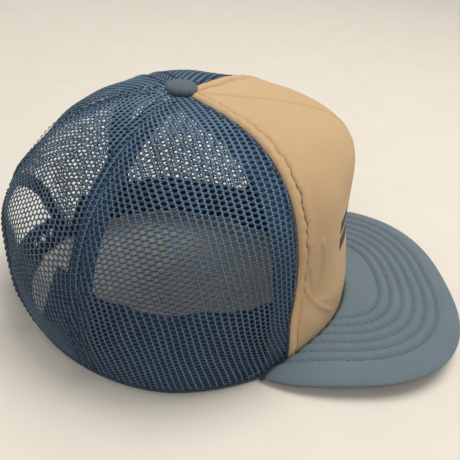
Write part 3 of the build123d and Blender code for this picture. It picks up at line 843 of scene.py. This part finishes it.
keep_rows = np.arange(0, PANEL_AZ.shape[0], 3)
keep_cols = np.unique(np.r_[0, np.arange(0, PANEL_AZ.shape[1], 2), PANEL_AZ.shape[1] - 1])
az, angle = PANEL_AZ[np.ix_(keep_rows, keep_cols)], PANEL_ANGLE[np.ix_(keep_rows, keep_cols)]
relief = panel_relief[np.ix_(keep_rows, keep_cols)]
outer = crown(az * 0.994, angle, relief - 0.85)
inner = crown(az * 0.994, angle, relief * 0.4 - 3.8)
verts, faces = shell(outer[:, ::-1], inner[:, ::-1])
flat = panel_flat[:, ::-1][np.ix_(keep_rows, keep_cols)][:, ::-1]
front_foam = build("front_foam", verts, faces, "foam_back", np.concatenate([flat.reshape(-1, 2)] * 2),
                   replaces=("front_panel_foam",))


# ======================================================================= stitches on the crown
def seam_path(seam, gap, low):
    """Path and normals a constant distance from a seam; positive gap is towards larger azimuth."""
    angle = np.linspace(float(angle_at(seam, height=low)), float(angle_at(seam, radius=SEAM_STITCH_END)), 160)
    az = seam + np.degrees(gap / profile(np.full_like(angle, seam), angle)[0])
    return crown(az, angle, 0.1), crown_normal(az, angle)



for side, label in ((1, "right"), (-1, "left")):
    start, end = float(angle_at(FRONT_SEAM, height=15.0)), float(angle_at(FRONT_SEAM, radius=12.0))
    angle = np.linspace(start, end, 420)
    r, z = profile(np.full_like(angle, FRONT_SEAM), angle)
    az = side * (FRONT_SEAM - np.degrees((PUFF + seam_wobble(r, z)) / r))
    verts, faces, flat = stitch_mesh(crown(az, angle, -0.62), crown_normal(az, angle), 3.5, 0.4, 0.36)
    build(f"topstitch_{label}", verts, faces, "thread_topstitch", flat,
          replaces=(f"front_topstitch_{label}",))

rows = []
for seam, gap, low in (
    (SIDE_SEAM, -4.6, 4.0), (SIDE_SEAM, 4.6, 4.0), (-SIDE_SEAM, -4.6, 4.0), (-SIDE_SEAM, 4.6, 4.0),
    (180.0, -4.6, ARCH_HEIGHT + BINDING + 1), (180.0, 4.6, ARCH_HEIGHT + BINDING + 1),
    (FRONT_SEAM, 2.4, 4.0), (-FRONT_SEAM, -2.4, 4.0),
):
    rows.append(stitch_mesh(*seam_path(seam, gap, low), 2.6, 0.9, 0.3))
verts, faces, flat = join(rows)
build("seam_stitches", verts, faces, "thread_navy", flat)


# ======================================================================= tapes, band, binding, hem
def rounded(width, thick, count=9):
    """Loop of a thin rounded strip: across from 0 to 1, and depth from 0 to 1."""
    across = np.linspace(0, 1, count)
    bulge = np.sqrt(np.maximum(0, 1 - (2 * across - 1) ** 6))
    upper = np.stack([across, 0.5 - 0.5 * bulge], -1)
    lower = np.stack([across[::-1], 0.5 + 0.5 * bulge[::-1]], -1)
    loop = np.concatenate([upper, lower[1:-1]])
    return loop * (width, thick)


def tape_piece(name, seam, first, last, low, node):
    start, end = float(angle_at(seam, height=low)), float(angle_at(seam, radius=TAPE_START))
    angle = np.linspace(start, end, 120)
    r, z = profile(np.full_like(angle, seam), angle)
    loop = rounded(last - first, 0.8)
    gap = first + loop[:, 0]
    az = seam + np.degrees(np.arcsin(np.clip(gap[None, :] / r[:, None], -0.95, 0.95)))
    sections = crown(az, np.repeat(angle[:, None], len(loop), 1), -1.15 - loop[:, 1][None, :])
    verts, faces = tube(sections)
    piece = build(name, verts, faces, "tape_weave", tube_flat(sections), replaces=(node,))


for kind, seam, near, far, count in (("front", FRONT_SEAM, 0.4, 2 * TAPE_HALF, 1),
                                     ("side", SIDE_SEAM, -TAPE_HALF, TAPE_HALF, 2)):
    for side, label in ((1, "right"), (-1, "left")):
        low, high = sorted((side * near, side * far))
        tape_piece(f"{kind}_tape_{label}", side * seam, low, high, 1.5, f"{kind}_seam_tape_{label}")
tape_piece("back_tape", 180.0, -TAPE_HALF, TAPE_HALF, ARCH_HEIGHT + BINDING - 1, "back_seam_tape")


def band_strip():
    """Loops of the sweatband: a soft strip leaning inwards, its folded top edge a little wavy."""
    az = np.linspace(-BAND_END, BAND_END, 420)
    low = BAND_LOW + front_low(az)
    share = smooth((np.abs(az) - FRONT_SEAM) / 16.0)
    inset = BAND_FRONT + (BAND_SIDE - BAND_FRONT) * share
    foot = profile(az, angle_at(az, height=low))[0] - inset
    lean = BAND_LEAN_FRONT + (BAND_LEAN_SIDE - BAND_LEAN_FRONT) * np.sin(np.radians(az)) ** 2
    turn = np.radians(az)
    wave = 0.9 * np.sin(5.3 * turn + 0.7) + 0.6 * np.sin(11.0 * turn) + 0.35 * np.sin(23.0 * turn + 2)
    loop = rounded(1.0, BAND, 22)
    up, deep = loop[:, 0], loop[:, 1]
    pinch = 0.35 * bell((up - 0.9) * BAND_HEIGHT, 1.0) + 0.3 * bell((up - 0.1) * BAND_HEIGHT, 1.0)
    squeeze = BAND / 2 + (deep - BAND / 2) * (1 - pinch)
    radius = foot[:, None] - (lean + wave)[:, None] * up[None, :] ** 1.25 - squeeze[None, :]
    z = low[:, None] + (BAND_HEIGHT - low[:, None] + 0.4 * wave[:, None]) * up[None, :]
    return np.stack([-radius * np.sin(turn)[:, None], BUTTON_Y - radius * np.cos(turn)[:, None], z], -1)


sections = band_strip()
verts, faces = tube(sections)
sweat = build("sweatband_cloth", verts, faces, "band_weave", tube_flat(sections), replaces=("sweatband",))


def binding_piece():
    """The tape folded over the arch's edge, from one foot to the other."""
    turn = np.linspace(0.0, math.pi, 260)
    loop = rounded(BINDING, 2.3, 12)
    grow = loop[:, 0][None, :]
    x, z = arch_edge(grow, turn[:, None])
    z = np.maximum(z, 0.5)
    az = back_span(x, z)
    sections = crown(az, angle_at(az, height=z), 0.7 - loop[:, 1][None, :])
    verts, faces = tube(sections)
    return build("arch_trim", verts, faces, "binding_weave", tube_flat(sections),
                 replaces=("arch_binding",))


trim = binding_piece()
turn = np.linspace(0.0, math.pi, 400)
x, z = arch_edge(BINDING / 2, turn)
rows = []
for grow in (1.7, 6.3):
    turn = np.linspace(0.06, math.pi - 0.06, 400)
    x, z = arch_edge(grow, turn)
    az = back_span(x, z)
    angle = angle_at(az, height=z)
    rows.append(stitch_mesh(crown(az, angle, 0.62), crown_normal(az, angle), 2.6, 0.9, 0.28))
verts, faces, flat = join(rows)
build("arch_trim_stitches", verts, faces, "thread_navy", flat)


def rim_hem(name, first, last):
    """Narrow folded edge of the net along the head opening."""
    az = np.linspace(first, last, 160)
    loop = rounded(3.6, 1.5, 9)
    z = 0.25 + loop[:, 0]
    grid = np.repeat(az[:, None], len(loop), 1)
    sections = crown(grid, angle_at(grid, height=np.repeat(z[None, :], len(az), 0)), 0.35 - loop[:, 1][None, :])
    verts, faces = tube(sections)
    hem = build(name, verts, faces, "binding_weave", tube_flat(sections))


rim_hem("rim_hem_right", FRONT_SEAM + 0.3, 146.0)
rim_hem("rim_hem_left", -146.0, -FRONT_SEAM - 0.3)


# ======================================================================= brim
def brim_place(x, y, depth):
    """Point at a depth below the brim's top plane, from its plan."""
    tilt = math.hypot(1, BRIM_RISE)
    local = y + RIM_FRONT
    return np.stack([x, -RIM_FRONT + (local + depth * -BRIM_RISE) / tilt,
                     BRIM_HEIGHT - (local * BRIM_RISE + depth) / tilt], -1)


def wall_gap(x, y, height):
    """Distance outwards from the crown's wall at a height; negative inside it."""
    az = np.degrees(np.arctan2(-x, -(y - BUTTON_Y)))
    return np.hypot(x, y - BUTTON_Y) - profile(az, angle_at(az, height=height))[0]


def brim_line(inset, count):
    """Plan of a line parallel to the brim's edge, from crown to crown, and its gap to the crown."""
    a = np.linspace(0, math.pi, 900)
    x = np.sign(np.cos(a)) * np.abs(np.cos(a)) ** (2 / BRIM_POWER) * (BRIM_HALF - inset)
    y = BRIM_WIDEST_Y - np.sin(a) ** (2 / BRIM_POWER) * (BRIM_DEPTH - inset)
    back = np.linspace(0, 1, 120)[1:]
    wing = (BRIM_HALF - WING_X) * (0.45 * back**2 + 0.55 * back**3) * np.clip(1 - inset / 15.0, 0, 1)
    wing_x = BRIM_HALF - inset - wing
    wing_y = BRIM_WIDEST_Y + back * (WING_Y - BRIM_WIDEST_Y)
    x = np.concatenate([wing_x[::-1], x, -wing_x])
    y = np.concatenate([wing_y[::-1], y, wing_y])
    gap = wall_gap(x, y, BRIM_HEIGHT)
    outside = np.nonzero(gap > -1.6)[0]
    first, last = outside[0], outside[-1]
    path = np.stack([x, y], -1)[first:last + 1]
    return resample(path, gap[first:last + 1, None], count)


def quilt(inset, pucker):
    """Height of the brim's padding above its plane; stitches pucker each channel."""
    ridge = np.zeros_like(inset)
    for at in ROWS:
        ridge = ridge - (1.05 + 0.2 * pucker) * bell(inset - at, 1.3)
    between = (inset - ROW_FIRST) / ROW_STEP
    swell = np.abs(np.sin(math.pi * between)) ** 0.7
    ridge = ridge + np.where((between > 0) & (between < ROW_COUNT - 1), 0.75 * swell, 0.0)
    ridge = ridge + np.where(between >= ROW_COUNT - 1, 0.6 * smooth((inset - ROWS[-1]) / 4.0), 0.0)
    outer_ring = np.clip(inset / ROW_FIRST, 0, 1)
    return ridge + np.where(between <= 0, 1.1 * np.sin(math.pi * outer_ring) ** 0.8, 0.0)


def edge_round(inset):
    """Quarter circle of the brim's edge: 0 at the very edge, 1 from EDGE_ROUND in."""
    return np.sqrt(np.clip(1 - (1 - np.clip(inset, 0, EDGE_ROUND) / EDGE_ROUND) ** 2, 0, 1))


def brim_droop(inset):
    """The ring outside the stitching slopes down to a rounded edge."""
    slope = 3.5 * smooth(1 - inset / 13.5) ** 0.8 * np.clip(1 - inset / 13.5, 0, 1) ** 0.35
    return slope + EDGE_ROUND * (1 - edge_round(inset))


def end_droop(y, inset):
    """The brim's ends bend down towards the head opening beside the front seams."""
    return END_DROOP * smooth((y + 92.0) / 40.0) * np.clip(1 - inset / 45.0, 0.2, 1)


def soft_noise(x, y):
    """Gentle unevenness of stuffed cloth, -1..1."""
    return (np.sin(0.21 * x + 1.3) * np.sin(0.17 * y + 0.7) + 0.6 * np.sin(0.43 * x - 0.31 * y + 1.0)
            + 0.4 * np.sin(0.9 * y + 0.5 * x + 2.0)) / 2


def brim_surface(insets, depth_of, columns):
    """Grid of points over the brim; depth_of(inset, pucker, x, y, gap) is the depth below its plane."""
    points = []
    for inset in insets:
        path, gap = brim_line(inset, columns)
        x, y = path[:, 0], path[:, 1]
        arc = run_along(path)
        pucker = np.cos(2 * math.pi * (arc - arc[-1] / 2) / STITCH_PITCH)
        points.append(brim_place(x, y, depth_of(np.full_like(x, inset), pucker, x, y, gap[:, 0])))
    return np.array(points)


EDGE_INSETS = [0.0, 0.12, 0.4, 0.8, 1.3, 1.9, 2.6, 3.4]
top_insets = np.concatenate([EDGE_INSETS, np.linspace(4.4, ROW_FIRST - 2.5, 9),
                             np.linspace(ROW_FIRST - 2, ROWS[-1] + 3, 92), np.linspace(ROWS[-1] + 4, INNER_INSET, 16)])


def top_depth(inset, pucker, x, y, gap):
    tuck = 2.6 * np.exp(-np.maximum(gap, 0) / 1.6)
    uneven = 0.16 * soft_noise(x, y) * smooth(inset / 4.0)
    return brim_droop(inset) - (quilt(inset, pucker) + uneven) * smooth(inset / 3.0) + end_droop(y, inset) + tuck


outer = brim_surface(top_insets, top_depth, 520)
verts = outer.reshape(-1, 3)
brim_top = build("brim_top", verts, lattice(*outer.shape[:2]).tolist(), "brim_face", verts[:, :2],
                 replaces=("brim_top_cover",))
mark(brim_top, "tuck", np.exp(-np.maximum(wall_gap(verts[:, 0], verts[:, 1], BRIM_HEIGHT - 2) - 0.9, 0) / 1.1))

EDGE_DEPTH = float(brim_droop(np.array([0.0]))[0])
under_insets = np.concatenate([[0.0, 0.12, 0.4, 0.8, 1.3, 1.9, 3.0, 5.0, 9.0],
                               np.linspace(ROW_FIRST - 2, ROWS[-1] + 3, 70),
                               np.linspace(ROWS[-1] + 4, INNER_INSET, 10)])


def under_depth(inset, pucker, x, y, gap):
    curl = (BRIM_THICK - EDGE_DEPTH) * edge_round(inset)
    sewn = sum((0.35 + 0.08 * pucker) * bell(inset - at, 0.9) for at in ROWS)
    return EDGE_DEPTH + curl - sewn + 0.75 * end_droop(y, inset) + 0.25 * end_droop(y, inset) * bell(inset, 1.5)


outer = brim_surface(under_insets, under_depth, 380)
verts = outer.reshape(-1, 3)
brim_under = build("brim_under", verts, lattice(*outer.shape[:2], 0, True).tolist(), "brim_below_shaded", verts[:, :2],
                   replaces=("brim_under_cover",))


def core_depth(side):
    """The stiff board inside, halfway between the covers."""
    def depth(inset, pucker, x, y, gap):
        above, below = top_depth(inset, 0.0, x, y, gap), under_depth(inset, 0.0, x, y, gap)
        return (above + below) / 2 + side * np.minimum(0.7, (below - above) * 0.2)
    return depth


core_insets = np.concatenate([[4.6, 5.0], np.linspace(6, INNER_INSET, 40)])
above, below = (brim_surface(core_insets, core_depth(k), 200) for k in (-1, 1))
verts, faces = shell(above, below)
build("brim_core", verts, faces, "board_plastic", verts[:, :2], replaces=("brim_board",))

for k, at in enumerate(ROWS):
    path, gap = brim_line(at, 900)
    path, gap = path[gap[:, 0] > 0.6], gap[gap[:, 0] > 0.6, 0]
    x, y, inset = path[:, 0], path[:, 1], np.full(len(path), at)
    above = brim_place(x, y, top_depth(inset, 0.0, x, y, gap) - 0.05)
    below = brim_place(x, y, under_depth(inset, 0.0, x, y, gap))
    up = np.tile([0.0, BRIM_RISE, 1.0], (len(path), 1))
    verts, faces, flat = join([stitch_mesh(above, up, STITCH_PITCH - 0.7, 0.7, 0.34),
                               stitch_mesh(below, -up, STITCH_PITCH - 0.7, 0.7, 0.34)])
    build(f"brim_stitches_{k + 1}", verts, faces, "thread_grey", flat,
          replaces=(f"brim_stitch_row_{k + 1}",))


# ======================================================================= button
def button_piece():
    """Fabric gathered over a low dome, tucked under at its edge."""
    low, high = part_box("button_cover")
    radius, foot, tall = (high.x - low.x) * 500, low.z * 1000, (high.z - low.z) * 1000
    turn = np.linspace(0, 2 * math.pi, 145)[:-1]
    t = np.linspace(0, 1, 40)
    ring_r = radius * np.sin(np.clip(t / 0.72, 0, 1) * math.pi / 2) ** 0.9
    ring_z = tall * (0.3 + 0.7 * np.cos(np.clip(t / 0.72, 0, 1) * math.pi / 2) ** 0.75)
    tuck = np.clip((t - 0.72) / 0.28, 0, 1)
    ring_r = ring_r - 1.6 * tuck**1.5
    ring_z = ring_z - tall * 0.3 * np.sin(tuck * math.pi / 2)
    pleat = np.cos(13 * turn + 0.6 * np.sin(3 * turn)) * 0.5 + 0.5 * np.cos(29 * turn + 1.0) * 0.4
    weight = smooth((t - 0.45) / 0.35)
    r = ring_r[:, None] * (1 + 0.022 * weight[:, None] * pleat[None, :])
    z = foot + ring_z[:, None] - 0.12 * weight[:, None] * pleat[None, :]
    grid = np.stack([r * np.cos(turn), BUTTON_Y + r * np.sin(turn), z], -1)
    rows, cols = grid.shape[:2]
    faces = []
    for i in range(rows - 1):
        for j in range(cols):
            k = (j + 1) % cols
            faces.append([i * cols + j, (i + 1) * cols + j, (i + 1) * cols + k, i * cols + k])
    faces.append([(rows - 1) * cols + j for j in range(cols)][::-1])
    return build("button_cloth", grid.reshape(-1, 3), faces, "button_face", grid[..., :2].reshape(-1, 2),
                 replaces=("button_cover",))


button_piece()

for node, mat in (
    ("button_core", "board_plastic"), ("button_rivet", "rivet_metal"),
    ("hole_strap", "strap_plastic"), ("peg_strap", "strap_plastic"),
    ("strap_sewn_end_left", "strap_plastic"), ("strap_sewn_end_right", "strap_plastic"),
):
    dress_node(node, mat)


# ======================================================================= stage, light, camera
scene = bpy.context.scene
scene.view_settings.view_transform = "Standard"
world = bpy.data.worlds.new("studio")
scene.world = world
world.use_nodes = True
world.node_tree.nodes["Background"].inputs[0].default_value = (1.0, 0.985, 0.96, 1.0)
world.node_tree.nodes["Background"].inputs[1].default_value = 0.45

g = Graph("floor_paint")
g.finish(Base_Color=g.blend(g.noise(30.0, 2.0), srgb(222, 214, 200), srgb(229, 222, 210)), Roughness=0.8)
reach = 12.0
floor = bpy.data.objects.new("floor", bpy.data.meshes.new("floor"))
floor.data.from_pydata([(-reach, -reach, -0.0004), (reach, -reach, -0.0004), (reach, reach, -0.0004),
                        (-reach, reach, -0.0004)], [], [(0, 1, 2, 3)])
floor.data.materials.append(MATERIALS["floor_paint"])
scene.collection.objects.link(floor)
floor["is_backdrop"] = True


def area_light(name, place, aim, size, power, tint=(1, 1, 1)):
    light = bpy.data.lights.new(name, "AREA")
    light.shape = "SQUARE"
    light.size, light.energy, light.color = size, power, tint
    obj = bpy.data.objects.new(name, light)
    obj.location = place
    obj.rotation_mode = "QUATERNION"
    obj.rotation_quaternion = (Vector(aim) - Vector(place)).to_track_quat("-Z", "Y")
    scene.collection.objects.link(obj)


area_light("key", (0.15, -0.35, 1.5), (0, -0.03, 0.05), 0.9, 17.0, (1.0, 0.985, 0.96))
area_light("fill", (-1.2, 0.35, 1.0), (0, -0.03, 0.05), 0.9, 4.5, (0.96, 0.98, 1.0))

AZIMUTH, ELEVATION, DISTANCE, ROLL = math.radians(6.254), math.radians(33.391), 0.3676, math.radians(7.10)
target = Vector((0.0, -0.03114, 0.04447))
back = Vector((-math.cos(AZIMUTH) * math.cos(ELEVATION), math.sin(AZIMUTH) * math.cos(ELEVATION), math.sin(ELEVATION)))
right = (-back).cross(Vector((0, 0, 1))).normalized()
up = right.cross(-back)
right, up = right * math.cos(ROLL) + up * math.sin(ROLL), up * math.cos(ROLL) - right * math.sin(ROLL)
data = bpy.data.cameras.new("camera")
data.lens, data.sensor_width = 46.84, 36.0
data.clip_start, data.clip_end = 0.02, 20.0
camera = bpy.data.objects.new("camera", data)
camera.matrix_world = Matrix.Translation(target + back * DISTANCE) @ Matrix((right, up, back)).transposed().to_4x4()
scene.collection.objects.link(camera)
scene.camera = camera

low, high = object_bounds()
